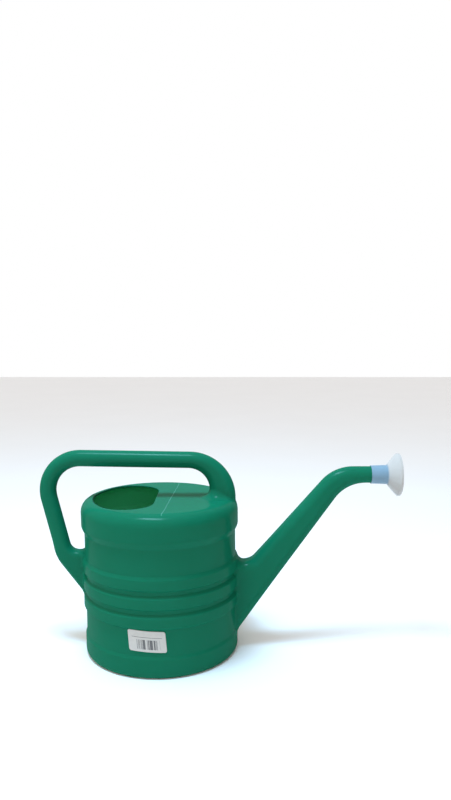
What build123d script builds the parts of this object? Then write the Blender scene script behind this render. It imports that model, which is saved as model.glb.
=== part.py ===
from build123d import *

import os
from math import cos, radians, sin, tan

# Garden watering can: a blow-moulded tank with a hollow handle and a hollow spout, a paper label,
# and a push-on rose whose perforated face clips into the rose's rim.
# Millimetres. The origin is the centre of the base, on the face that the can stands on.
# +X points to the spout, +Z points up, and the can is symmetric about the XZ plane.

# Tank
TANK_HEIGHT = 219.2
WALL = 2.2
BASE_BAND_RADIUS = 109.6
BASE_BAND_HEIGHT = 29.0
BASE_EDGE_RADIUS = 7.0
WAIST_RADIUS = 106.8
TOP_BAND_RADIUS = 112.0
TOP_BAND_HEIGHT = 45.4
SHOULDER_RADIUS = 16.0
STEP_HEIGHT = 2.6
PROFILE_FILLET = 1.8

# Ribs round the tank's waist
RIB_COUNT = 3
RIB_START = 68.0
RIB_PITCH = 25.4
RIB_WIDTH = 19.6
RIB_RADIUS = 108.9
GROOVE_RADIUS = 107.2

# Filler opening in the deck
FILLER_REAR_MARGIN = 18.0
FILLER_FRONT_X = -5.0
FILLER_CORNER_RADIUS = 40.0

# Heights at which the base and the deck meet the tank's wall
BASE_SEAM_HEIGHT = 10.0
DECK_SEAM_HEIGHT = 200.0

# Handle
TUBE_DIAMETER = 23.6
HAND_CLEARANCE = 43.6
REAR_BEND_RADIUS = 46.5
REAR_BEND_TURN = 104.0
REAR_BEND_OVERHANG = 4.3
FRONT_BEND_RADIUS = 49.0
FRONT_LEG_INSET = 24.0
FOOT_LENGTH = 37.0
FOOT_WIDTH = 28.0
FOOT_STATIONS = 5
LEG_END_HEIGHT = 148.0

# Spout
SPOUT_TIP_REACH = 192.4
SPOUT_TIP_HEIGHT = 251.75
SPOUT_TIP_DIAMETER = 23.7
SPIGOT_LENGTH = 23.0
SPOUT_ROOT_REACH = 46.0

# Rose
ROSE_WALL = 1.0
ROSE_FIT = 0.08
ROSE_END_GAP = 0.4
COLLAR_FLARE = 0.7
ROSE_DEPTH = 17.5
ROSE_CONVEXITY = 0.6
ROSE_RADIUS = 30.4
ROSE_LIP = 3.0
FACE_THICKNESS = 1.4
FACE_DOME = 1.5
FACE_RIM_WIDTH = 2.4
FACE_FIT = 0.1
BEAD_HEIGHT = 0.6
BEAD_WIDTH = 1.4
HOLE_DIAMETER = 1.5
HOLE_RINGS = 4
HOLES_PER_RING_STEP = 6
HOLE_RING_PITCH = 5.4

# Label
LABEL_WIDTH = 50.0
LABEL_HEIGHT = 30.0
LABEL_CORNER = 3.0
LABEL_THICKNESS = 0.2
LABEL_X = -10.8
LABEL_Z = 51.8
LABEL_TILT = -1.0

# Worked out from the sizes above
TUBE_RADIUS = TUBE_DIAMETER / 2
TIP_RADIUS = SPOUT_TIP_DIAMETER / 2
TIP_X = WAIST_RADIUS + SPOUT_TIP_REACH
TOP_BAND_START = TANK_HEIGHT - TOP_BAND_HEIGHT
INSIDE_REACH = 3 * WALL
GRIP_Z = TANK_HEIGHT + HAND_CLEARANCE + TUBE_RADIUS
FRONT_LEG_X = TOP_BAND_RADIUS - FRONT_LEG_INSET
FRONT_BEND_CENTRE = (FRONT_LEG_X - FRONT_BEND_RADIUS, GRIP_Z - FRONT_BEND_RADIUS)
REAR_BEND_CENTRE = (-TOP_BAND_RADIUS - REAR_BEND_OVERHANG, GRIP_Z - REAR_BEND_RADIUS)
LEG_ANGLE = radians(REAR_BEND_TURN - 90)
ROSE_AXIS = Axis((0, 0, SPOUT_TIP_HEIGHT), (1, 0, 0))


def upright_section(upper, lower):
    """Plane that holds two points of the XZ plane and the Y direction, with its X from lower to upper."""
    along = Vector(upper[0] - lower[0], 0, upper[1] - lower[1]).normalized()
    middle = ((upper[0] + lower[0]) / 2, 0, (upper[1] + lower[1]) / 2)
    return Plane(origin=middle, x_dir=along, z_dir=along.cross(Vector(0, 1, 0)))


def span(upper, lower):
    """Distance between two points of the XZ plane."""
    return Vector(upper[0] - lower[0], upper[1] - lower[1]).length


def revolved_tank(inset):
    """The tank as a closed form, its skin moved in by inset."""
    corners = [(0, inset), (BASE_BAND_RADIUS - inset, inset)]
    fillets = [BASE_EDGE_RADIUS - inset]

    def step(radius_below, radius_above, height):
        """Slope from one radius to the next, centred on a height."""
        corners.append((radius_below - inset, height - STEP_HEIGHT / 2))
        corners.append((radius_above - inset, height + STEP_HEIGHT / 2))
        fillets.extend([PROFILE_FILLET, PROFILE_FILLET])

    step(BASE_BAND_RADIUS, WAIST_RADIUS, BASE_BAND_HEIGHT)
    for rib in range(RIB_COUNT):
        below = WAIST_RADIUS if rib == 0 else GROOVE_RADIUS
        above = WAIST_RADIUS if rib == RIB_COUNT - 1 else GROOVE_RADIUS
        rib_z = RIB_START + rib * RIB_PITCH
        step(below, RIB_RADIUS, rib_z + STEP_HEIGHT / 2)
        step(RIB_RADIUS, above, rib_z + RIB_WIDTH - STEP_HEIGHT / 2)
    step(WAIST_RADIUS, TOP_BAND_RADIUS, TOP_BAND_START)
    corners.append((TOP_BAND_RADIUS - inset, TANK_HEIGHT - inset))
    fillets.append(SHOULDER_RADIUS - inset)
    corners.append((0, TANK_HEIGHT - inset))

    with BuildPart() as form:
        with BuildSketch(Plane.XZ):
            with BuildLine():
                skin = FilletPolyline(*corners, radius=fillets)
                Line(skin @ 1, skin @ 0)
            make_face()
        revolve(axis=Axis.Z)
    return form.part


def handle_form(inset):
    """The handle as a closed form that runs on into the tank at both ends, moved in by inset."""
    leg_top = (
        REAR_BEND_CENTRE[0] - REAR_BEND_RADIUS * cos(LEG_ANGLE),
        REAR_BEND_CENTRE[1] - REAR_BEND_RADIUS * sin(LEG_ANGLE),
    )
    leg_end = (leg_top[0] + (leg_top[1] - LEG_END_HEIGHT) * tan(LEG_ANGLE), LEG_END_HEIGHT)
    leg_inner = (leg_end[0] + TUBE_RADIUS * cos(LEG_ANGLE), leg_end[1] + TUBE_RADIUS * sin(LEG_ANGLE))
    leg_outer = (leg_end[0] - TUBE_RADIUS * cos(LEG_ANGLE), leg_end[1] - TUBE_RADIUS * sin(LEG_ANGLE))
    wall_x = -WAIST_RADIUS
    # Inner edge, outer edge and width of the root that joins the leg to the tank's rear wall
    root = [
        (leg_inner, leg_outer, TUBE_DIAMETER),
        ((wall_x - 21.5, 144.0), (wall_x - 45.4, 133.6), 23.4),
        ((wall_x - 15.0, 141.6), (wall_x - 37.5, 121.0), 23.0),
        ((wall_x - 7.0, 141.3), (wall_x - 21.0, 99.0), 22.5),
        ((wall_x + INSIDE_REACH, 141.3), (wall_x + INSIDE_REACH, 63.0), 22.0),
    ]
    with BuildPart() as form:
        with BuildLine(Plane.XZ):
            leg = Line(leg_end, leg_top)
            bend = CenterArc(REAR_BEND_CENTRE, REAR_BEND_RADIUS, 180 + REAR_BEND_TURN - 90, -REAR_BEND_TURN)
            grip = Line((REAR_BEND_CENTRE[0], GRIP_Z), (FRONT_BEND_CENTRE[0], GRIP_Z))
        with BuildSketch(Plane(origin=leg @ 0, z_dir=leg % 0)):
            Circle(TUBE_RADIUS - inset)
        sweep(path=Wire([leg, bend, grip]))
        for inner, outer, width in root:
            with BuildSketch(upright_section(inner, outer)):
                Ellipse(span(inner, outer) / 2 - inset, width / 2 - inset)
        loft()
        for station in range(FOOT_STATIONS + 1):
            share = station / FOOT_STATIONS
            turn = radians(90 * (1 - share))
            radial = Vector(cos(turn), 0, sin(turn))
            centre = Vector(FRONT_BEND_CENTRE[0], 0, FRONT_BEND_CENTRE[1]) + radial * FRONT_BEND_RADIUS
            with BuildSketch(Plane(origin=centre, x_dir=radial, z_dir=radial.cross(Vector(0, 1, 0)))):
                Ellipse(
                    (TUBE_DIAMETER + share * (FOOT_LENGTH - TUBE_DIAMETER)) / 2 - inset,
                    (TUBE_DIAMETER + share * (FOOT_WIDTH - TUBE_DIAMETER)) / 2 - inset,
                )
        loft()
        with BuildSketch(Plane.XY.offset(FRONT_BEND_CENTRE[1])):
            with Locations((FRONT_LEG_X, 0)):
                Ellipse(FOOT_LENGTH / 2 - inset, FOOT_WIDTH / 2 - inset)
        extrude(amount=-(FRONT_BEND_CENTRE[1] - TANK_HEIGHT + INSIDE_REACH + WALL))
    return form.part


def spout_form(inset):
    """The spout up to its round tip as a closed form that runs on into the tank, moved in by inset."""
    # Upper edge, lower edge and width of each section; X is counted from the tank's front wall
    neck_start = ((37.9, 146.5), (71.3, 119.8), 30.0)
    neck_end = ((117.8, 237.5), (142.3, 218.0), 26.0)
    tip = (
        (SPOUT_TIP_REACH, SPOUT_TIP_HEIGHT + TIP_RADIUS),
        (SPOUT_TIP_REACH, SPOUT_TIP_HEIGHT - TIP_RADIUS),
        SPOUT_TIP_DIAMETER,
    )
    root = [
        ((-INSIDE_REACH, 139.0), (-INSIDE_REACH, 13.0), 38.0),
        ((6.0, 128.3), (6.0, 30.0), 36.5),
        ((17.0, 128.5), (26.0, 57.6), 34.5),
        neck_start,
    ]
    bend = [
        neck_end,
        ((131.1, 253.3), (151.2, 227.5), 25.3),
        ((155.6, 262.6), (165.4, 236.0), 24.5),
        ((179.2, 263.6), (179.2, 239.6), 24.0),
        tip,
    ]
    with BuildPart() as form:
        for stretch in (root, [neck_start, neck_end], bend):
            for upper, lower, width in stretch:
                top = (WAIST_RADIUS + upper[0], upper[1])
                bottom = (WAIST_RADIUS + lower[0], lower[1])
                with BuildSketch(upright_section(top, bottom)):
                    Ellipse(span(top, bottom) / 2 - inset, width / 2 - inset)
            loft()
    return form.part


tank_skin = revolved_tank(0)
tank_cavity = revolved_tank(WALL)
handle_skin = handle_form(0)
handle_cavity = handle_form(WALL)
spout_skin = spout_form(0)
spout_cavity = spout_form(WALL)

with BuildPart() as whole_tank:
    add(tank_skin)
    add(tank_cavity, mode=Mode.SUBTRACT)
    with BuildSketch(Plane.XY.offset(TANK_HEIGHT - 2 * WALL)) as filler:
        Circle(TOP_BAND_RADIUS - FILLER_REAR_MARGIN)
        with Locations((FILLER_FRONT_X, 0)):
            Rectangle(
                TOP_BAND_RADIUS, 2 * TOP_BAND_RADIUS, align=(Align.MAX, Align.CENTER), mode=Mode.INTERSECT
            )
        fillet(filler.vertices(), FILLER_CORNER_RADIUS)
    extrude(amount=3 * WALL, mode=Mode.SUBTRACT)
    add(handle_cavity, mode=Mode.SUBTRACT)
    add(spout_cavity, mode=Mode.SUBTRACT)

base_seam = Plane.XY.offset(BASE_SEAM_HEIGHT)
deck_seam = Plane.XY.offset(DECK_SEAM_HEIGHT)

with BuildPart() as tank_base:
    add(whole_tank.part)
    split(bisect_by=base_seam, keep=Keep.BOTTOM)
tank_base.part.label = "tank_base"

with BuildPart() as tank_wall:
    add(whole_tank.part)
    split(bisect_by=base_seam, keep=Keep.TOP)
    split(bisect_by=deck_seam, keep=Keep.BOTTOM)
tank_wall.part.label = "tank_wall"

with BuildPart() as tank_deck:
    add(whole_tank.part)
    split(bisect_by=deck_seam, keep=Keep.TOP)
tank_deck.part.label = "tank_deck"

with BuildPart() as handle:
    add(handle_skin)
    add(handle_cavity, mode=Mode.SUBTRACT)
    add(tank_skin, mode=Mode.SUBTRACT)
handle.part.label = "handle"

with BuildPart() as whole_spout:
    add(spout_skin)
    with BuildSketch(Plane.YZ.offset(TIP_X)):
        with Locations((0, SPOUT_TIP_HEIGHT)):
            Circle(TIP_RADIUS)
    extrude(amount=SPIGOT_LENGTH)
    add(spout_cavity, mode=Mode.SUBTRACT)
    with BuildSketch(Plane.YZ.offset(TIP_X)):
        with Locations((0, SPOUT_TIP_HEIGHT)):
            Circle(TIP_RADIUS - WALL)
    extrude(amount=SPIGOT_LENGTH, mode=Mode.SUBTRACT)
    add(tank_skin, mode=Mode.SUBTRACT)

root_seam = Plane.YZ.offset(WAIST_RADIUS + SPOUT_ROOT_REACH)
tip_seam = Plane.YZ.offset(TIP_X)

with BuildPart() as spout_root:
    add(whole_spout.part)
    split(bisect_by=root_seam, keep=Keep.BOTTOM)
spout_root.part.label = "spout_root"

with BuildPart() as spout:
    add(whole_spout.part)
    split(bisect_by=root_seam, keep=Keep.TOP)
    split(bisect_by=tip_seam, keep=Keep.BOTTOM)
spout.part.label = "spout"

with BuildPart() as spout_tip:
    add(whole_spout.part)
    split(bisect_by=tip_seam, keep=Keep.TOP)
spout_tip.part.label = "spout_tip"

# Rose: radii are measured from the spout tip's axis, and lengths along it
BORE_RADIUS = TIP_RADIUS + ROSE_FIT
COLLAR_RADIUS = BORE_RADIUS + ROSE_WALL
COLLAR_END = TIP_X + SPIGOT_LENGTH + ROSE_END_GAP
RIM_X = COLLAR_END + ROSE_DEPTH
FACE_RADIUS = ROSE_RADIUS - ROSE_WALL - FACE_FIT
SEAT_X = RIM_X - ROSE_LIP
GROOVE_MIDDLE = RIM_X - ROSE_LIP / 2
CONE_MOUTH = FACE_RADIUS - 1.5
CONE_MIDDLE = (COLLAR_END + SEAT_X) / 2


def axial(x, radius):
    """A point at a distance along the rose's axis and a radius above it."""
    return (x, SPOUT_TIP_HEIGHT + radius)


with BuildPart() as rose_funnel:
    with BuildSketch(Plane.XZ):
        with BuildLine():
            Polyline(axial(TIP_X + ROSE_END_GAP, BORE_RADIUS), axial(COLLAR_END, BORE_RADIUS),
                     axial(COLLAR_END, TIP_RADIUS - WALL))
            inner = ThreePointArc(
                axial(COLLAR_END, TIP_RADIUS - WALL),
                axial(CONE_MIDDLE, (TIP_RADIUS - WALL + CONE_MOUTH) / 2 + ROSE_CONVEXITY),
                axial(SEAT_X, CONE_MOUTH),
            )
            Polyline(
                inner @ 1,
                axial(SEAT_X, FACE_RADIUS + FACE_FIT),
                axial(GROOVE_MIDDLE - BEAD_WIDTH / 2 - FACE_FIT, FACE_RADIUS + FACE_FIT),
                axial(GROOVE_MIDDLE, FACE_RADIUS + FACE_FIT + BEAD_HEIGHT),
                axial(GROOVE_MIDDLE + BEAD_WIDTH / 2 + FACE_FIT, FACE_RADIUS + FACE_FIT),
                axial(RIM_X, FACE_RADIUS + FACE_FIT),
                axial(RIM_X, ROSE_RADIUS),
                axial(SEAT_X, ROSE_RADIUS),
            )
            outer = ThreePointArc(
                axial(SEAT_X, ROSE_RADIUS),
                axial(CONE_MIDDLE, (COLLAR_RADIUS + COLLAR_FLARE + ROSE_RADIUS) / 2 + ROSE_CONVEXITY),
                axial(COLLAR_END, COLLAR_RADIUS + COLLAR_FLARE),
            )
            Polyline(outer @ 1, axial(TIP_X + ROSE_END_GAP, COLLAR_RADIUS), axial(TIP_X + ROSE_END_GAP, BORE_RADIUS))
        make_face()
    revolve(axis=ROSE_AXIS)
rose_funnel.part.label = "rose_funnel"

with BuildPart() as rose_face:
    with BuildSketch(Plane.XZ):
        with BuildLine():
            plate_edge = FACE_RADIUS - FACE_RIM_WIDTH
            outside = ThreePointArc(
                axial(RIM_X + FACE_DOME, 0),
                axial(RIM_X + 0.75 * FACE_DOME, plate_edge / 2),
                axial(RIM_X, plate_edge),
            )
            rim = Polyline(
                outside @ 1,
                axial(RIM_X, FACE_RADIUS),
                axial(GROOVE_MIDDLE + BEAD_WIDTH / 2, FACE_RADIUS),
                axial(GROOVE_MIDDLE, FACE_RADIUS + BEAD_HEIGHT),
                axial(GROOVE_MIDDLE - BEAD_WIDTH / 2, FACE_RADIUS),
                axial(SEAT_X + FACE_FIT, FACE_RADIUS),
                axial(SEAT_X + FACE_FIT, plate_edge),
                axial(RIM_X - FACE_THICKNESS, plate_edge),
            )
            inside = ThreePointArc(
                rim @ 1,
                axial(RIM_X - FACE_THICKNESS + 0.75 * FACE_DOME, plate_edge / 2),
                axial(RIM_X - FACE_THICKNESS + FACE_DOME, 0),
            )
            Line(inside @ 1, outside @ 0)
        make_face()
    revolve(axis=ROSE_AXIS)
    with BuildSketch(Plane(origin=(SEAT_X, 0, SPOUT_TIP_HEIGHT), x_dir=(0, 1, 0), z_dir=(1, 0, 0))):
        Circle(HOLE_DIAMETER / 2)
        for ring in range(1, HOLE_RINGS + 1):
            with PolarLocations(ring * HOLE_RING_PITCH, ring * HOLES_PER_RING_STEP):
                Circle(HOLE_DIAMETER / 2)
    extrude(amount=ROSE_LIP + 2 * FACE_DOME, mode=Mode.SUBTRACT)
rose_face.part.label = "rose_face"

label_sheet = revolved_tank(-LABEL_THICKNESS)
with BuildPart() as label:
    with BuildSketch(Plane.XZ.offset(WAIST_RADIUS / 2)):
        with Locations(Location((LABEL_X, LABEL_Z), LABEL_TILT)):
            RectangleRounded(LABEL_WIDTH, LABEL_HEIGHT, LABEL_CORNER)
    extrude(amount=WAIST_RADIUS)
    add(label_sheet, mode=Mode.INTERSECT)
    add(tank_skin, mode=Mode.SUBTRACT)
label.part.label = "label"

os.makedirs("parts", exist_ok=True)
pieces = (
    tank_base, tank_wall, tank_deck, handle, spout_root, spout, spout_tip, rose_funnel, rose_face, label
)
for piece in pieces:
    export_step(piece.part, f"parts/{piece.part.label}.step")
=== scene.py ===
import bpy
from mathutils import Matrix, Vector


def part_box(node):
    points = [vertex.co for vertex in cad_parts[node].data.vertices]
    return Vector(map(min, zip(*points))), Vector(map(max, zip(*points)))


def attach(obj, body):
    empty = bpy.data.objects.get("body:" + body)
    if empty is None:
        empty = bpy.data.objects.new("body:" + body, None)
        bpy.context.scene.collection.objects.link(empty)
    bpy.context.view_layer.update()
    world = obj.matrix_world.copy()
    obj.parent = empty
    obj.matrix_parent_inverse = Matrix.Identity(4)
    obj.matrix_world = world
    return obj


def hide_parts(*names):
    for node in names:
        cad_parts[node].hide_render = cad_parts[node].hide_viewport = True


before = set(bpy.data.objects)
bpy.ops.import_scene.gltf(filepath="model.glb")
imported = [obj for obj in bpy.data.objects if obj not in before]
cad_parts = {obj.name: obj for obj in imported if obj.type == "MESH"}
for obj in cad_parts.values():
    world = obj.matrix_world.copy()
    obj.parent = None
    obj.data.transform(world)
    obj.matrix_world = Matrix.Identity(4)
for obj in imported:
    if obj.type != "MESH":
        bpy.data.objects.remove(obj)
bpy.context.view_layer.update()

import math

import bpy
import numpy as np
import openvdb
from mathutils import Vector

MM = 0.001

# Tank, in millimetres like every length below that has no unit
TANK_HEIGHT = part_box("tank_deck")[1].z / MM
TOP_BAND_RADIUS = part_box("tank_deck")[1].x / MM
WALL = 2.2
BASE_BAND_RADIUS = TOP_BAND_RADIUS - 2.4
BASE_BAND_HEIGHT = 29.0
BASE_EDGE_RADIUS = 7.0
WAIST_RADIUS = TOP_BAND_RADIUS - 4.2
TOP_BAND_START = TANK_HEIGHT - 45.4
SHOULDER_RADIUS = 16.0
BAND_SLOPE_HEIGHT = 9.0
BAND_FOOT_FILLET = 1.5
BAND_TOP_FILLET = 10.0
TANK_LEAN = 0.012
STEP_HEIGHT = 4.0
STEP_FILLET = 2.2

# Ribs round the waist: each has a tight lower edge and a soft upper one
RIB_COUNT = 3
RIB_START = 67.4
RIB_PITCH = 25.4
RIB_WIDTH = 20.2
RIB_RADIUS = WAIST_RADIUS + 3.0
GROOVE_RADIUS = WAIST_RADIUS - 0.6
RIB_FOOT_HEIGHT = 2.4
RIB_TOP_HEIGHT = 4.4
RIB_FOOT_FILLET = 1.2
RIB_TOP_FILLET = 2.0

# Filler opening in the deck
FILLER_REAR_RADIUS = TOP_BAND_RADIUS - 18.0
FILLER_FRONT_X = -5.0
FILLER_CORNER_RADIUS = 38.0
FILLER_CENTRE_X = FILLER_FRONT_X - FILLER_CORNER_RADIUS

# Handle: a tube with a rear bend, a sloping grip and a flared front foot
TUBE_RADIUS = 11.8
REAR_BEND_CENTRE = (-116.3, 229.0)
REAR_BEND_RADIUS = 46.5
LEG_LEAN = math.radians(14.0)
GRIP_SLOPE = math.radians(0.88)
FOOT_OUTER_CENTRE = (40.0, 218.3)
FOOT_OUTER_RADIUS = 66.5
FOOT_INNER_CENTRE = (38.0, 230.2)
FOOT_INNER_RADIUS = 31.1
FOOT_HALF_WIDTH = 14.0
FOOT_END_HEIGHT = 198.0
ROOT_EDGE_DROP = 3.5

# Spout
TIP_RADIUS = 11.85
TIP_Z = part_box("rose_face")[0].z / MM / 2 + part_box("rose_face")[1].z / MM / 2
SPIGOT_END_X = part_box("spout_tip")[1].x / MM

# Where the rose's collar ends and its cone starts
COLLAR_END_X = SPIGOT_END_X + 0.4

# Label: its top edge drops towards the spout and its ends lean
LABEL_WIDTH = 50.0
LABEL_HEIGHT = 28.5
LABEL_CORNER = 3.0
LABEL_X = -10.8
LABEL_Z = 51.8
LABEL_LEAN = 0.085
LABEL_DROP = 0.045

# Fineness of the meshes
SEGMENTS = 256
ARC_STEPS = 7
RING_SPACING = 7.0
BASE_SHARES = (0.02, 0.15, 0.3, 0.45, 0.6, 0.75, 0.9)
TABLE_CELL = 0.5
HANDLE_CELL = 1.25
SPOUT_CELL = 1.1

# How far the handle and the spout reach into the tank's skin
EMBED = 0.6


def arc(centre, radius, start, end, steps):
    """Points on an arc between two angles in degrees."""
    angles = np.radians(np.linspace(start, end, steps))
    return [(centre[0] + radius * math.cos(a), centre[1] + radius * math.sin(a)) for a in angles]


def rounded(corners, radii, steps=ARC_STEPS):
    """An open line through corners, each inner corner rounded by its radius."""
    points = [corners[0]]
    for before, corner, after, radius in zip(corners, corners[1:], corners[2:], radii):
        here = np.array(corner, float)
        back = np.array(before, float) - here
        forth = np.array(after, float) - here
        back /= np.linalg.norm(back)
        forth /= np.linalg.norm(forth)
        opening = math.acos(np.clip(back @ forth, -1, 1))
        if radius <= 0 or opening > math.pi - 1e-3:
            points.append(tuple(here))
            continue
        bisector = (back + forth) / np.linalg.norm(back + forth)
        middle = here + bisector * radius / math.sin(opening / 2)
        first = here + back * radius / math.tan(opening / 2) - middle
        turn = math.pi - opening
        side = math.copysign(1.0, back[0] * forth[1] - back[1] * forth[0])
        for k in range(steps):
            a = -side * turn * k / (steps - 1)
            c, s = math.cos(a), math.sin(a)
            points.append((middle[0] + c * first[0] - s * first[1], middle[1] + s * first[0] + c * first[1]))
    points.append(corners[-1])
    return points


def tank_profile(inset):
    """Half section of the tank from the base's centre to the deck's, its skin moved in by inset."""
    corners = [(0, inset), (BASE_BAND_RADIUS - inset, inset)]
    fillets = [BASE_EDGE_RADIUS - inset]

    def step(below, above, low, high, low_fillet, high_fillet):
        corners.extend([(below - inset, low), (above - inset, high)])
        fillets.extend([low_fillet, high_fillet])

    half = STEP_HEIGHT / 2
    low, high = BASE_BAND_HEIGHT - half, BASE_BAND_HEIGHT + half
    step(BASE_BAND_RADIUS, WAIST_RADIUS, low, high, STEP_FILLET, STEP_FILLET)
    for rib in range(RIB_COUNT):
        below = WAIST_RADIUS if rib == 0 else GROOVE_RADIUS
        above = WAIST_RADIUS if rib == RIB_COUNT - 1 else GROOVE_RADIUS
        low = RIB_START + rib * RIB_PITCH
        high = low + RIB_WIDTH
        step(below, RIB_RADIUS, low, low + RIB_FOOT_HEIGHT, RIB_FOOT_FILLET, RIB_FOOT_FILLET)
        step(RIB_RADIUS, above, high - RIB_TOP_HEIGHT, high, RIB_TOP_FILLET, RIB_TOP_FILLET)
    slope_top = TOP_BAND_START + BAND_SLOPE_HEIGHT
    step(WAIST_RADIUS, TOP_BAND_RADIUS, TOP_BAND_START, slope_top, BAND_FOOT_FILLET, BAND_TOP_FILLET)
    corners.append((TOP_BAND_RADIUS - inset, TANK_HEIGHT - inset))
    fillets.append(SHOULDER_RADIUS - inset)
    corners.append((0, TANK_HEIGHT - inset))
    return rounded(corners, fillets)


class Table:
    """Signed distance to a closed outline, looked up on a flat grid."""

    def __init__(self, outline, low, high):
        self.low = np.array(low, float)
        size = (np.ceil((np.array(high) - self.low) / TABLE_CELL)).astype(int) + 1
        a = self.low[0] + TABLE_CELL * np.arange(size[0])[:, None]
        b = self.low[1] + TABLE_CELL * np.arange(size[1])[None, :]
        nearest = np.full(size, 1e9)
        inside = np.zeros(size, bool)
        points = np.array(outline, float)
        for p, q in zip(points, np.roll(points, -1, 0)):
            edge = q - p
            length = edge @ edge
            if length < 1e-12:
                continue
            t = np.clip(((a - p[0]) * edge[0] + (b - p[1]) * edge[1]) / length, 0, 1)
            nearest = np.minimum(nearest, (a - p[0] - t * edge[0]) ** 2 + (b - p[1] - t * edge[1]) ** 2)
            if p[1] != q[1]:
                crosses = (p[1] > b) != (q[1] > b)
                inside ^= crosses & (a < p[0] + (b - p[1]) * edge[0] / edge[1])
        self.values = np.sqrt(nearest) * np.where(inside, -1, 1)

    def at(self, a, b):
        u = np.clip((a - self.low[0]) / TABLE_CELL, 0, self.values.shape[0] - 1.001)
        v = np.clip((b - self.low[1]) / TABLE_CELL, 0, self.values.shape[1] - 1.001)
        i, j = u.astype(int), v.astype(int)
        u, v = u - i, v - j
        t = self.values
        near = t[i, j] * (1 - u) + t[i + 1, j] * u
        far = t[i, j + 1] * (1 - u) + t[i + 1, j + 1] * u
        return near * (1 - v) + far * v


def smooth_step(x):
    x = np.clip(x, 0, 1)
    return x * x * (3 - 2 * x)


def round_union(a, b, radius):
    """Union of two distances with a circular fillet."""
    near = np.hypot(np.maximum(radius - a, 0), np.maximum(radius - b, 0))
    return np.maximum(radius, np.minimum(a, b)) - near


def round_cut(a, b, radius):
    """What is inside both distances, with rounded edges."""
    near = np.hypot(np.maximum(radius + a, 0), np.maximum(radius + b, 0))
    return np.minimum(-radius, np.maximum(a, b)) + near


def thickened(side, y, half_width, edge_radius):
    """Distance to a side view given thickness along Y, with rounded edges."""
    a = side + edge_radius
    b = np.abs(y) - (half_width - edge_radius)
    return np.hypot(np.maximum(a, 0), np.maximum(b, 0)) - edge_radius + np.minimum(np.maximum(a, b), 0)


tank_outline = tank_profile(0)
tank_table = Table(tank_outline + [(-20, TANK_HEIGHT), (-20, 0)], (-2, -30), (150, 260))


def tank_distance(x, y, z):
    return tank_table.at(np.hypot(x + TANK_LEAN * z, y), z)


def handle_outline():
    """Side view of the handle, closed inside the tank at both ends."""
    outer = REAR_BEND_RADIUS + TUBE_RADIUS
    inner = REAR_BEND_RADIUS - TUBE_RADIUS
    lean, slope = math.degrees(LEG_LEAN), math.degrees(GRIP_SLOPE)
    leg_outer_top = arc(REAR_BEND_CENTRE, outer, 180 + lean, 180 + lean, 1)[0]
    leg_inner_top = arc(REAR_BEND_CENTRE, inner, 180 + lean, 180 + lean, 1)[0]

    def down_leg(top, z):
        return (top[0] + (top[1] - z) * math.tan(LEG_LEAN), z)

    root_tip = (-100.0, 62.9)
    knee = (-152.1, 131.5)
    heel_outer = rounded([root_tip, knee, leg_outer_top], [65.0], 12)
    heel_inner = rounded([leg_inner_top, down_leg(leg_inner_top, 141.3), (-100.0, 141.3)], [12.0], 10)
    return (
        heel_outer[:-1]
        + arc(REAR_BEND_CENTRE, outer, 180 + lean, 90 - slope, 40)
        + arc(FOOT_OUTER_CENTRE, FOOT_OUTER_RADIUS, 90 - slope, 0, 40)
        + [(FOOT_OUTER_CENTRE[0] + FOOT_OUTER_RADIUS, FOOT_END_HEIGHT)]
        + [(FOOT_INNER_CENTRE[0] + FOOT_INNER_RADIUS, FOOT_END_HEIGHT)]
        + arc(FOOT_INNER_CENTRE, FOOT_INNER_RADIUS, 0, 90 - slope, 30)
        + arc(REAR_BEND_CENTRE, inner, 90 - slope, 180 + lean, 30)
        + heel_inner[1:]
    )


handle_table = Table(handle_outline(), (-200, 30), (140, 320))


def handle_distance(x, y, z):
    front = smooth_step((x - 44) / 40) * smooth_step((272 - z) / 45)
    root = smooth_step((-90 - x) / 10) * smooth_step((158 - z) / 25)
    half_width = TUBE_RADIUS + (FOOT_HALF_WIDTH - TUBE_RADIUS) * front
    edge = TUBE_RADIUS + 0.8 * front - ROOT_EDGE_DROP * root
    return thickened(handle_table.at(x, z), y, half_width, edge)


def handle_field(x, y, z):
    handle = handle_distance(x, y, z)
    tank = tank_distance(x, y, z)
    rear = 5 + 4 * smooth_step((z - 128) / 15)
    fillet = np.where(x < 0, rear, 3 + 11 * smooth_step((102 - x) / 25))
    skin = round_union(handle, tank, fillet)
    return np.maximum(np.maximum(skin, -tank - EMBED), handle - 0.96 * fillet)


def spout_outline():
    """Side view of the spout, from inside the tank to past its tip."""
    beyond = SPIGOT_END_X + 30
    top = TIP_Z + TIP_RADIUS
    low = TIP_Z - TIP_RADIUS
    upper = rounded([(94.0, 126.0), (127.4, 126.0), (247.6, top), (beyond, top)], [23.0, 60.0], 20)
    lower = rounded([(beyond, low), (265.1, low), (94.0, 3.6)], [53.0], 20)
    return upper + lower


spout_table = Table(spout_outline(), (70, -20), (SPIGOT_END_X + 40, 300))


def spout_distance(x, y, z):
    half_width = np.interp(x, [100, 125, 158, 236, 275, 299], [19.5, 17.8, 15.4, 13.0, 12.1, TIP_RADIUS])
    return thickened(spout_table.at(x, z), y, half_width, np.minimum(half_width, 12.5))


def spout_field(x, y, z):
    spout = spout_distance(x, y, z)
    tank = tank_distance(x, y, z)
    fillet = 3.5 + 6 * smooth_step((z - 108) / 18)
    skin = round_union(spout, tank, fillet)
    skin = np.maximum(np.maximum(skin, -tank - EMBED), spout - 0.96 * fillet)
    skin = round_cut(skin, x - SPIGOT_END_X, 0.6)
    return round_cut(skin, -(spout + WALL), 0.4)


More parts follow.
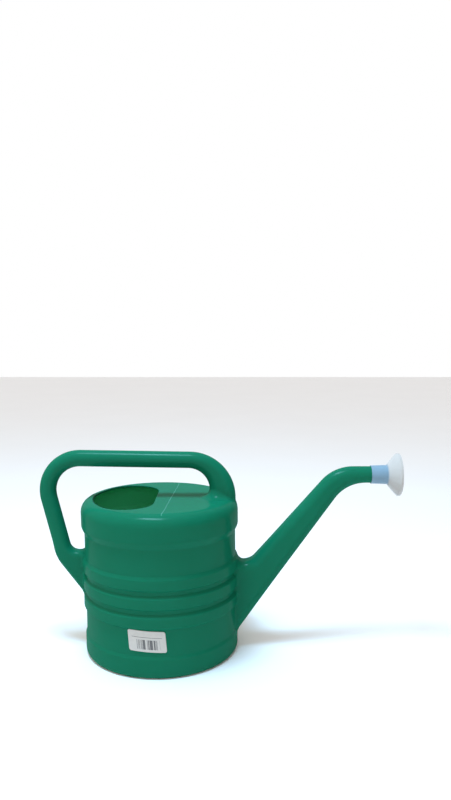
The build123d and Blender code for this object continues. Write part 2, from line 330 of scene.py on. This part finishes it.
def mesh_from_field(name, field, low, high, cell):
    """A closed mesh on a field's zero surface, its points moved onto that surface."""
    axes = [np.arange(a, b + cell, cell) for a, b in zip(low, high)]
    values = np.empty([len(a) for a in axes], np.float32)
    y, z = np.meshgrid(axes[1], axes[2], indexing="ij")
    for i, x in enumerate(axes[0]):
        values[i] = field(np.full(y.shape, x), y, z)
    grid = openvdb.FloatGrid(float(cell * 3))
    grid.copyFromArray(np.clip(values, -3 * cell, 3 * cell).astype(np.float32))
    points, quads = grid.convertToQuads(isovalue=0.0)
    points = points.astype(float) * cell + np.array(low)
    nudge = 0.04
    for _ in range(4):
        here = field(*points.T)
        slope = np.stack([
            field(*(points + nudge * axis).T) - field(*(points - nudge * axis).T) for axis in np.eye(3)
        ], 1) / (2 * nudge)
        steepness = np.maximum((slope ** 2).sum(1), 0.25)
        move = -(here / steepness)[:, None] * slope
        length = np.linalg.norm(move, axis=1, keepdims=True)
        points += move * np.minimum(1, 0.3 * cell / np.maximum(length, 1e-9))
    return new_piece(name, points, [tuple(q) for q in quads.tolist()])


def new_piece(name, points, faces):
    """A smooth-shaded mesh object from points in millimetres."""
    mesh = bpy.data.meshes.new(name)
    mesh.from_pydata((np.asarray(points) * MM).tolist(), [], faces)
    mesh.validate()
    mesh.shade_smooth()
    piece = bpy.data.objects.new(name, mesh)
    bpy.context.scene.collection.objects.link(piece)
    return piece


def filler_outline():
    """Distance from the filler's centre to its edge, for every degree."""
    middle = FILLER_REAR_RADIUS - FILLER_CORNER_RADIUS
    corner_y = math.sqrt(middle ** 2 - FILLER_CENTRE_X ** 2)
    meet = math.degrees(math.atan2(corner_y, FILLER_CENTRE_X))
    upper = arc((FILLER_CENTRE_X, corner_y), FILLER_CORNER_RADIUS, 0, meet, 60)
    rear = arc((0, 0), FILLER_REAR_RADIUS, meet, 360 - meet, 120)
    lower = [(x, -y) for x, y in reversed(upper)]
    front = [(FILLER_FRONT_X, y) for y in np.linspace(-corner_y, corner_y, 20)[1:-1]]
    return np.array(upper + rear[1:] + lower[1:] + front)


def tank_rings():
    """Rings of points from the base's centre, over the outside, through the filler and down the inside."""
    angles = np.linspace(0, 2 * math.pi, SEGMENTS, endpoint=False)
    circle = np.stack([np.cos(angles), np.sin(angles)], 1)

    def ring(radius, z):
        return np.column_stack([circle * radius, np.full(SEGMENTS, z)])

    def filled(profile, longest):
        """Profile points with long straight runs divided."""
        points = [profile[0]]
        for p, q in zip(profile, profile[1:]):
            count = max(1, math.ceil(math.dist(p, q) / longest))
            for k in range(1, count + 1):
                points.append((p[0] + (q[0] - p[0]) * k / count, p[1] + (q[1] - p[1]) * k / count))
        return points

    def walls(inset):
        return filled(tank_profile(inset)[1:-1], RING_SPACING)

    deck_radius = TOP_BAND_RADIUS - SHOULDER_RADIUS
    edge = filler_outline() - (FILLER_CENTRE_X, 0)
    polar = np.unwrap(np.arctan2(edge[:, 1], edge[:, 0]))
    reach = np.hypot(*edge.T)
    order = np.argsort(polar)
    toward = circle * deck_radius - (FILLER_CENTRE_X, 0)
    span = np.hypot(*toward.T)
    toward /= span[:, None]
    rim = np.interp(np.arctan2(toward[:, 1], toward[:, 0]), polar[order], reach[order], period=2 * math.pi)

    def deck_ring(share, z, grow=0.0):
        along = rim + grow + (span - rim - grow) * share
        return np.column_stack([toward * along[:, None] + (FILLER_CENTRE_X, 0), np.full(SEGMENTS, z)])

    outer, inner = walls(0), walls(WALL)
    base = [ring(outer[0][0] * k, 0.0) for k in BASE_SHARES]
    floor = [ring(inner[0][0] * k, WALL) for k in BASE_SHARES]
    shares = [k / 16 for k in range(1, 16)]
    rim_radius = WALL / 2
    lip = [
        deck_ring(0, TANK_HEIGHT - rim_radius + rim_radius * math.sin(a), rim_radius * (1 - math.cos(a)))
        for a in np.radians(np.linspace(90, -90, 9))
    ]
    return (
        base + [ring(r, z) for r, z in outer]
        + [deck_ring(s, TANK_HEIGHT) for s in reversed(shares)]
        + lip
        + [deck_ring(s, TANK_HEIGHT - WALL) for s in shares]
        + [ring(r, z) for r, z in reversed(inner)] + floor[::-1]
    )


def make_tank():
    rings = tank_rings()
    points = [(0, 0, 0)] + [tuple(p) for ring in rings for p in ring] + [(0, 0, WALL)]
    faces = []
    for k in range(SEGMENTS):
        faces.append((0, 1 + (k + 1) % SEGMENTS, 1 + k))
        last = 1 + (len(rings) - 1) * SEGMENTS
        faces.append((last + k, last + (k + 1) % SEGMENTS, len(points) - 1))
    for r in range(len(rings) - 1):
        low, high = 1 + r * SEGMENTS, 1 + (r + 1) * SEGMENTS
        for k in range(SEGMENTS):
            n = (k + 1) % SEGMENTS
            faces.append((low + k, low + n, high + n, high + k))
    points = [(x - TANK_LEAN * z, y, z) for x, y, z in points]
    tank = new_piece("tank_shell", points, faces)
    channel = mesh_from_field(
        "channel", lambda x, y, z: np.maximum(spout_distance(x, y, z) + WALL, np.abs(x - 107) - 9),
        (92, -24, 2), (120, 24, 140), 1.5,
    )
    cut = tank.modifiers.new("spout_channel", "BOOLEAN")
    cut.operation, cut.object, cut.solver = "DIFFERENCE", channel, "EXACT"
    with bpy.context.temp_override(object=tank, active_object=tank):
        bpy.ops.object.modifier_apply(modifier=cut.name)
    bpy.data.objects.remove(channel)
    return tank


def make_label():
    """The paper label: a thin sheet laid on the wall, its corners rounded and its two sides leaning."""
    across, up = 51, 31
    points, faces = [], []
    for side in (0, 1):
        for i in range(across):
            for j in range(up):
                u = (i / (across - 1) - 0.5) * LABEL_WIDTH
                v = (j / (up - 1) - 0.5) * LABEL_HEIGHT
                out_u = max(abs(u) - LABEL_WIDTH / 2 + LABEL_CORNER, 0)
                out_v = max(abs(v) - LABEL_HEIGHT / 2 + LABEL_CORNER, 0)
                corner = math.hypot(out_u, out_v)
                if corner > LABEL_CORNER:
                    u -= math.copysign(out_u * (1 - LABEL_CORNER / corner), u)
                    v -= math.copysign(out_v * (1 - LABEL_CORNER / corner), v)
                x = LABEL_X + u - v * LABEL_LEAN
                z = LABEL_Z + v - u * LABEL_DROP
                lift = 0.05 + 0.25 * side + 0.5 * max(corner - 1, 0) / LABEL_CORNER * side
                radius = tank_radius(z) + lift
                points.append((x, -math.sqrt(radius ** 2 - (x + TANK_LEAN * z) ** 2), z))
    size = across * up
    for i in range(across - 1):
        for j in range(up - 1):
            a, b, c, d = i * up + j, (i + 1) * up + j, (i + 1) * up + j + 1, i * up + j + 1
            faces.append((a, d, c, b))
            faces.append((size + a, size + b, size + c, size + d))
    edge = [i * up for i in range(across)] + [(across - 1) * up + j for j in range(1, up)]
    edge += [i * up + up - 1 for i in range(across - 2, -1, -1)] + [j for j in range(up - 2, 0, -1)]
    for a, b in zip(edge, edge[1:] + edge[:1]):
        faces.append((a, b, size + b, size + a))
    return new_piece("label_sheet", points, faces)


def tank_radius(z):
    """Radius of the tank's wall at a height."""
    wall = [(p[1], p[0]) for p in tank_outline if 5 < p[1] < 195]
    return float(np.interp(z, [p[0] for p in wall], [p[1] for p in wall]))


# Materials

def nodes_of(name):
    material = bpy.data.materials.new(name)
    material.use_nodes = True
    tree = material.node_tree
    return material, tree, tree.nodes["Principled BSDF"]


def add_node(tree, kind, **values):
    node = tree.nodes.new(kind)
    for key, value in values.items():
        if key.startswith("in_"):
            node.inputs[key[3:].replace("_", " ")].default_value = value
        else:
            setattr(node, key, value)
    return node


def maths(tree, operation, first, second=None, clamp=False):
    node = tree.nodes.new("ShaderNodeMath")
    node.operation = operation
    node.use_clamp = clamp
    for socket, value in zip(node.inputs, (first, second)):
        if value is None:
            continue
        if isinstance(value, (int, float)):
            socket.default_value = value
        else:
            tree.links.new(value, socket)
    return node.outputs[0]


def mixed(tree, share, first, second):
    node = add_node(tree, "ShaderNodeMix", data_type="RGBA")
    for socket, value in ((node.inputs[0], share), (node.inputs[6], first), (node.inputs[7], second)):
        if isinstance(value, (int, float, tuple)):
            socket.default_value = value
        else:
            tree.links.new(value, socket)
    return node.outputs[2]


def noise(tree, place, scale, detail=2.0, roughness=0.5):
    node = add_node(tree, "ShaderNodeTexNoise", in_Scale=scale, in_Detail=detail, in_Roughness=roughness)
    tree.links.new(place, node.inputs["Vector"])
    return node.outputs["Fac"]


def colour_value(r, g, b):
    """An sRGB colour in 0 to 255 as linear light."""
    def linear(c):
        return ((c / 255 + 0.055) / 1.055) ** 2.4 if c > 10 else c / 255 / 12.92

    return linear(r), linear(g), linear(b), 1.0


def painted_glow_inside_plastic():
    """The tank's inner skin, painted far lighter than the outside: a painted glow that stands in for the
    light its thin wall lets through.
    """
    material, tree, shader = nodes_of("green_plastic_inside_painted_glow")
    place = add_node(tree, "ShaderNodeTexCoord").outputs["Object"]
    # Painted glow: these light greens stand in for light shining through the thin wall
    base = mixed(tree, noise(tree, place, 14.0, 3.0), colour_value(72, 200, 142), colour_value(80, 212, 152))
    tree.links.new(base, shader.inputs["Base Color"])
    rough = maths(tree, "ADD", maths(tree, "MULTIPLY", noise(tree, place, 35.0, 4.0), 0.15), 0.4)
    tree.links.new(rough, shader.inputs["Roughness"])
    shader.inputs["Specular IOR Level"].default_value = 0.1
    return material


def green_plastic():
    material, tree, shader = nodes_of("green_plastic")
    place = add_node(tree, "ShaderNodeTexCoord").outputs["Object"]
    axes = add_node(tree, "ShaderNodeSeparateXYZ")
    tree.links.new(place, axes.inputs[0])
    cloud = noise(tree, place, 14.0, 3.0)
    grain = noise(tree, place, 900.0, 2.0)
    base = mixed(tree, cloud, colour_value(13, 98, 70), colour_value(17, 106, 78))
    # Fine pale witness line across the deck, and scuffs behind it
    line_x = maths(tree, "ADD", maths(tree, "MULTIPLY", axes.outputs["Y"], 0.057), 0.0145)
    wobble = maths(tree, "MULTIPLY", maths(tree, "SUBTRACT", noise(tree, place, 60.0), 0.5), 0.003)
    wavy_x = maths(tree, "ADD", line_x, wobble)
    off_line = maths(tree, "ABSOLUTE", maths(tree, "SUBTRACT", axes.outputs["X"], wavy_x))
    on_deck = maths(tree, "GREATER_THAN", axes.outputs["Z"], (TANK_HEIGHT - 1.0) * MM)
    below_grip = maths(tree, "LESS_THAN", axes.outputs["Z"], (TANK_HEIGHT + 2.0) * MM)
    on_deck = maths(tree, "MULTIPLY", on_deck, below_grip)
    line = maths(tree, "SUBTRACT", 1.0, maths(tree, "DIVIDE", off_line, 0.0006), clamp=True)
    line = maths(tree, "MULTIPLY", line, on_deck)
    line = maths(tree, "MULTIPLY", line, maths(tree, "MULTIPLY", cloud, 0.6))
    base = mixed(tree, line, base, colour_value(150, 205, 200))
    speck = maths(tree, "SUBTRACT", noise(tree, place, 420.0, 4.0, 0.7), 0.62)
    speck = maths(tree, "MULTIPLY", speck, 6.0, clamp=True)
    behind = maths(tree, "LESS_THAN", axes.outputs["X"], line_x)
    speck = maths(tree, "MULTIPLY", speck, on_deck)
    speck = maths(tree, "MULTIPLY", speck, maths(tree, "MULTIPLY", behind, 0.3))
    base = mixed(tree, speck, base, colour_value(90, 170, 160))
    tree.links.new(base, shader.inputs["Base Color"])
    rough = maths(tree, "ADD", maths(tree, "MULTIPLY", noise(tree, place, 35.0, 4.0), 0.14), 0.24)
    tree.links.new(rough, shader.inputs["Roughness"])
    bump = add_node(tree, "ShaderNodeBump", in_Strength=0.25, in_Distance=0.0002)
    height = maths(tree, "ADD", maths(tree, "MULTIPLY", cloud, 4.0), maths(tree, "MULTIPLY", grain, 0.2))
    height = maths(tree, "ADD", height, maths(tree, "MULTIPLY", line, 2.0))
    tree.links.new(height, bump.inputs["Height"])
    tree.links.new(bump.outputs[0], shader.inputs["Normal"])
    shader.inputs["Specular IOR Level"].default_value = 0.0
    shader.inputs["Coat Weight"].default_value = 0.12
    shader.inputs["Coat Roughness"].default_value = 0.2
    shader.inputs["Coat IOR"].default_value = 1.5
    shader.inputs["Subsurface Weight"].default_value = 0.15
    shader.inputs["Subsurface Radius"].default_value = (0.2, 1.0, 0.5)
    shader.inputs["Subsurface Scale"].default_value = 0.004
    return material


def white_plastic():
    material, tree, shader = nodes_of("white_plastic")
    place = add_node(tree, "ShaderNodeTexCoord").outputs["Object"]
    cloud = noise(tree, place, 40.0, 3.0)
    axes = add_node(tree, "ShaderNodeSeparateXYZ")
    tree.links.new(place, axes.inputs[0])
    # Painted see-through light: the tube shows through the collar and tints it, so the collar is painted
    # blue-grey in place of that light and of bluish reflected light
    collar = maths(tree, "SUBTRACT", (COLLAR_END_X + 1.5) * MM, axes.outputs["X"])
    collar = maths(tree, "MULTIPLY", collar, 500.0, clamp=True)
    white = mixed(tree, cloud, colour_value(180, 172, 166), colour_value(190, 182, 176))
    base = mixed(tree, collar, white, colour_value(122, 146, 162))
    tree.links.new(base, shader.inputs["Base Color"])
    rough = maths(tree, "ADD", maths(tree, "MULTIPLY", noise(tree, place, 120.0, 3.0), 0.12), 0.34)
    tree.links.new(rough, shader.inputs["Roughness"])
    bump = add_node(tree, "ShaderNodeBump", in_Strength=0.2, in_Distance=0.0001)
    tree.links.new(noise(tree, place, 1200.0, 2.0), bump.inputs["Height"])
    tree.links.new(bump.outputs[0], shader.inputs["Normal"])
    shader.inputs["Subsurface Weight"].default_value = 0.3
    shader.inputs["Subsurface Radius"].default_value = (1.0, 1.0, 1.0)
    shader.inputs["Subsurface Scale"].default_value = 0.003
    shader.inputs["Specular IOR Level"].default_value = 0.2
    return material


def label_paper():
    """White paper with plain bars, which carry no code, text or number."""
    material, tree, shader = nodes_of("label_paper")
    place = add_node(tree, "ShaderNodeTexCoord").outputs["Object"]
    axes = add_node(tree, "ShaderNodeSeparateXYZ")
    tree.links.new(place, axes.inputs[0])
    x = maths(tree, "SUBTRACT", axes.outputs["X"], LABEL_X * MM)
    z = maths(tree, "SUBTRACT", axes.outputs["Z"], LABEL_Z * MM)
    along = maths(tree, "ADD", x, maths(tree, "MULTIPLY", z, LABEL_LEAN))
    up = maths(tree, "ADD", z, maths(tree, "MULTIPLY", x, LABEL_DROP))
    column = maths(tree, "FLOOR", maths(tree, "DIVIDE", along, 0.00066))
    random = add_node(tree, "ShaderNodeTexWhiteNoise", noise_dimensions="1D")
    tree.links.new(column, random.inputs["W"])
    bar = maths(tree, "GREATER_THAN", random.outputs["Value"], 0.45)
    across = maths(tree, "LESS_THAN", maths(tree, "ABSOLUTE", maths(tree, "SUBTRACT", along, 0.001)), 0.0157)
    tall = maths(tree, "LESS_THAN", maths(tree, "ABSOLUTE", maths(tree, "ADD", up, 0.0045)), 0.0065)
    ink = maths(tree, "MULTIPLY", maths(tree, "MULTIPLY", bar, across), tall)
    rule = maths(tree, "LESS_THAN", maths(tree, "ABSOLUTE", maths(tree, "SUBTRACT", up, 0.0052)), 0.0003)
    rule = maths(tree, "MULTIPLY", rule, maths(tree, "LESS_THAN", maths(tree, "ABSOLUTE", along), 0.02))
    ink = maths(tree, "MULTIPLY", maths(tree, "MAXIMUM", ink, rule), 0.8)
    fibre = noise(tree, place, 300.0, 4.0)
    paper = mixed(tree, fibre, colour_value(188, 180, 172), colour_value(202, 193, 184))
    tree.links.new(mixed(tree, ink, paper, colour_value(40, 40, 44)), shader.inputs["Base Color"])
    rough = maths(tree, "ADD", maths(tree, "MULTIPLY", fibre, 0.2), 0.45)
    tree.links.new(rough, shader.inputs["Roughness"])
    bump = add_node(tree, "ShaderNodeBump", in_Strength=0.3, in_Distance=0.0001)
    tree.links.new(noise(tree, place, 90.0, 3.0), bump.inputs["Height"])
    tree.links.new(bump.outputs[0], shader.inputs["Normal"])
    return material


def floor_paint():
    material, tree, shader = nodes_of("floor")
    place = add_node(tree, "ShaderNodeTexCoord").outputs["Object"]
    cloud = noise(tree, place, 3.0, 2.0)
    paint = mixed(tree, cloud, (0.91, 0.89, 0.88, 1), (0.94, 0.92, 0.91, 1))
    tree.links.new(paint, shader.inputs["Base Color"])
    shader.inputs["Roughness"].default_value = 0.9
    return material


def dress(piece, material):
    piece.data.materials.clear()
    piece.data.materials.append(material)


# Camera, floor and light

CAMERA_PITCH = 5.61
FLOOR_HALF_SIZE = 6.0


def make_camera():
    data = bpy.data.cameras.new("camera")
    data.lens = 31.5
    data.sensor_width = 36.0
    camera = bpy.data.objects.new("camera", data)
    camera.location = (0.09185, -0.98786, 0.45597)
    camera.rotation_euler = (math.radians(90 - CAMERA_PITCH), 0, 0)
    bpy.context.scene.collection.objects.link(camera)
    bpy.context.scene.camera = camera


def make_floor():
    size = FLOOR_HALF_SIZE
    corners = [(-size, -size, 0), (size, -size, 0), (size, size, 0), (-size, size, 0)]
    mesh = bpy.data.meshes.new("floor")
    mesh.from_pydata(corners, [], [(0, 1, 2, 3)])
    floor = bpy.data.objects.new("floor", mesh)
    bpy.context.scene.collection.objects.link(floor)
    dress(floor, floor_paint())


def make_light(name, place, target, size, power, colour):
    data = bpy.data.lights.new(name, "AREA")
    data.shape = "RECTANGLE"
    data.size, data.size_y = size
    data.energy = power
    data.color = colour
    light = bpy.data.objects.new(name, data)
    light.location = place
    light.rotation_euler = (Vector(target) - Vector(place)).to_track_quat("-Z", "Y").to_euler()
    bpy.context.scene.collection.objects.link(light)


def make_world():
    world = bpy.data.worlds.new("world")
    world.use_nodes = True
    tree = world.node_tree
    background = tree.nodes["Background"]
    background.inputs["Color"].default_value = (1, 1, 1, 1)
    # White all round, dimmer on the spout's side
    axes = add_node(tree, "ShaderNodeSeparateXYZ")
    tree.links.new(add_node(tree, "ShaderNodeTexCoord").outputs["Generated"], axes.inputs[0])
    side = maths(tree, "MULTIPLY", maths(tree, "SUBTRACT", axes.outputs["X"], 0.3), 2.5, clamp=True)
    strength = maths(tree, "SUBTRACT", 1.0, maths(tree, "MULTIPLY", side, 0.75))
    tree.links.new(strength, background.inputs["Strength"])
    bpy.context.scene.world = world


bpy.context.scene.view_settings.view_transform = "Standard"
make_camera()
make_floor()
make_world()
make_light("key", (-0.15, -0.25, 1.5), (0, 0, 0.2), (0.5, 0.3), 24.0, (0.4, 0.72, 1.0))
make_light("glint", (-0.12, -0.25, 1.4), (0, 0, 0.2), (0.12, 0.06), 1.6, (0.6, 0.85, 1.0))

green = green_plastic()
white = white_plastic()
paper = label_paper()

tank = make_tank()
handle = mesh_from_field("handle_tube", handle_field, (-182, -26, 50), (122, 26, 294), HANDLE_CELL)
spout = mesh_from_field("spout_tube", spout_field, (94, -34, 0), (SPIGOT_END_X + 4, 34, 272), SPOUT_CELL)

for piece, nodes in (
    (tank, ("tank_base", "tank_wall", "tank_deck")),
    (handle, ("handle",)),
    (spout, ("spout_root", "spout", "spout_tip")),
):
    dress(piece, green)
    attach(piece, "can")
    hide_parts(*nodes)

# The tank's inner faces take the inside material, painted lighter to stand in for light let through the
# wall, apart from those round the filler's rim
tank.data.materials.append(painted_glow_inside_plastic())
for face in tank.data.polygons:
    centre = face.center / MM
    radius = math.hypot(centre.x + TANK_LEAN * centre.z, centre.y)
    wall = tank_table.at(np.array([radius]), np.array([centre.z]))[0]
    in_filler = centre.z > TANK_HEIGHT - 2 * WALL and face.normal.z > -0.9
    face.material_index = int(wall < -0.6 * WALL and not in_filler)

label = make_label()
dress(label, paper)
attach(label, "can")
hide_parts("label")

for node in ("rose_funnel", "rose_face"):
    dress(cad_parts[node], white)
